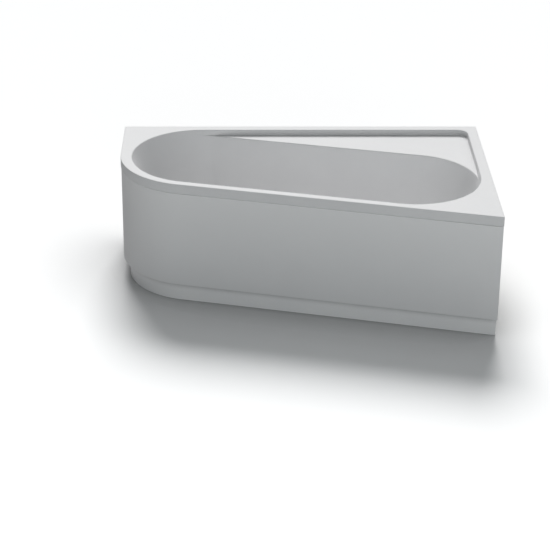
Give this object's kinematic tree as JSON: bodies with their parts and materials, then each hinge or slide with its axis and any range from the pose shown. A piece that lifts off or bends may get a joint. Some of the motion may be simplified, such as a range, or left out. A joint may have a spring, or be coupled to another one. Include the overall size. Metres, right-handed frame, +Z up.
{
  "type": "bathtub",
  "caption": "Built-in bathtub with a slanted curved front: long oval basin with a triangular shelf recess, apron panel, recessed plinth, steel cradle and pop-up waste.",
  "frame": {"origin": "on the floor, under the middle of the rim's plan box", "axes": "+X along the back wall towards the deep end with the shelf, +Y towards the back wall, +Z up"},
  "size_m": [1.6, 0.9998, 0.56],
  "materials": {
    "acrylic": "smooth white acrylic, soft gloss",
    "panel_acrylic": "smooth white acrylic, soft gloss",
    "plinth_board": "white, satin",
    "plywood": "bare birch plywood",
    "particle_board": "bare particle board",
    "zinc_steel": "zinc-plated, dull",
    "screw_steel": "zinc-plated, bright",
    "black_plastic": "moulded, matte",
    "clip_plastic": "moulded, matte",
    "chrome_trim": "polished chrome plate",
    "seal_rubber": "soft black rubber",
    "foot_rubber": "hard black rubber",
    "white_plastic": "moulded, satin",
    "grey_plastic": "moulded, satin",
    "cable_plastic": "extruded, matte",
    "cast_metal": "bare, dull"
  },
  "bodies": {
    "bath": {"bath_shell": "acrylic", "rim_blocks": "plywood", "baseboard": "particle_board", "cross_rail_left": "zinc_steel", "cross_rail_right": "zinc_steel", "shelf_post": "zinc_steel", "rail_end_caps": "black_plastic", "frame_screws": "screw_steel", "foot_nuts": "screw_steel", "front_panel": "panel_acrylic", "plinth": "plinth_board", "panel_clips": "clip_plastic", "clip_screws": "screw_steel", "plinth_brackets": "zinc_steel", "wall_straps": "zinc_steel", "strap_screws": "screw_steel", "drain_flange": "chrome_trim", "drain_top_seal": "seal_rubber", "drain_lower_seal": "seal_rubber", "waste_body": "white_plastic", "lifter_cover": "grey_plastic", "cover_screws": "screw_steel", "trap_nut": "grey_plastic", "trap_bowl": "white_plastic", "overflow_plate": "chrome_trim", "overflow_seal": "seal_rubber", "overflow_gasket": "seal_rubber", "overflow_body": "white_plastic", "overflow_pipe": "white_plastic", "overflow_elbow": "grey_plastic", "pipe_nuts": "grey_plastic", "cable_sheath": "cable_plastic", "cable_ferrules": "screw_steel"},
    "knob": {"overflow_knob": "chrome_trim", "overflow_spindle": "cast_metal"},
    "plug": {"plug_cap": "chrome_trim", "plug_seal": "seal_rubber", "plug_stem": "screw_steel"},
    "lifter": {"lifter": "cast_metal"},
    "foot_1": {"foot_rod_1": "screw_steel", "foot_pad_1": "foot_rubber"},
    "foot_2": {"foot_rod_2": "screw_steel", "foot_pad_2": "foot_rubber"},
    "foot_3": {"foot_rod_3": "screw_steel", "foot_pad_3": "foot_rubber"},
    "foot_4": {"foot_rod_4": "screw_steel", "foot_pad_4": "foot_rubber"},
    "foot_5": {"foot_rod_5": "screw_steel", "foot_pad_5": "foot_rubber"}
  },
  "joints": [
    {"name": "knob_turn", "type": "hinge", "parent": "bath", "child": "knob", "pos_m": [-0.06612, -0.22852, 0.455], "axis": [0.2382, 0.9556, 0.1736], "range_deg": [0, 90]},
    {"name": "lifter_turn", "type": "hinge", "parent": "bath", "child": "lifter", "pos_m": [0.00682, 0.06402, 0.084], "axis": [-0.9703, 0.2419, 0], "range_deg": [0, 25.61]},
    {"name": "plug_rise", "type": "slide", "parent": "bath", "child": "plug", "axis": [0, 0, 1], "range_m": [0, 0.01]},
    {"name": "foot_1_thread", "type": "slide", "parent": "bath", "child": "foot_1", "axis": [0, 0, -1], "range_m": [-0.02, 0.025]},
    {"name": "foot_2_thread", "type": "slide", "parent": "bath", "child": "foot_2", "axis": [0, 0, -1], "range_m": [-0.02, 0.025]},
    {"name": "foot_3_thread", "type": "slide", "parent": "bath", "child": "foot_3", "axis": [0, 0, -1], "range_m": [-0.02, 0.025]},
    {"name": "foot_4_thread", "type": "slide", "parent": "bath", "child": "foot_4", "axis": [0, 0, -1], "range_m": [-0.02, 0.025]},
    {"name": "foot_5_thread", "type": "slide", "parent": "bath", "child": "foot_5", "axis": [0, 0, -1], "range_m": [-0.02, 0.025]}
  ],
  "couplings": [
    {"joint": "lifter_turn", "follows": "knob_turn", "ratio": 0.28454},
    {"joint": "plug_rise", "follows": "knob_turn", "m_per_rad": 0.0063662}
  ]
}
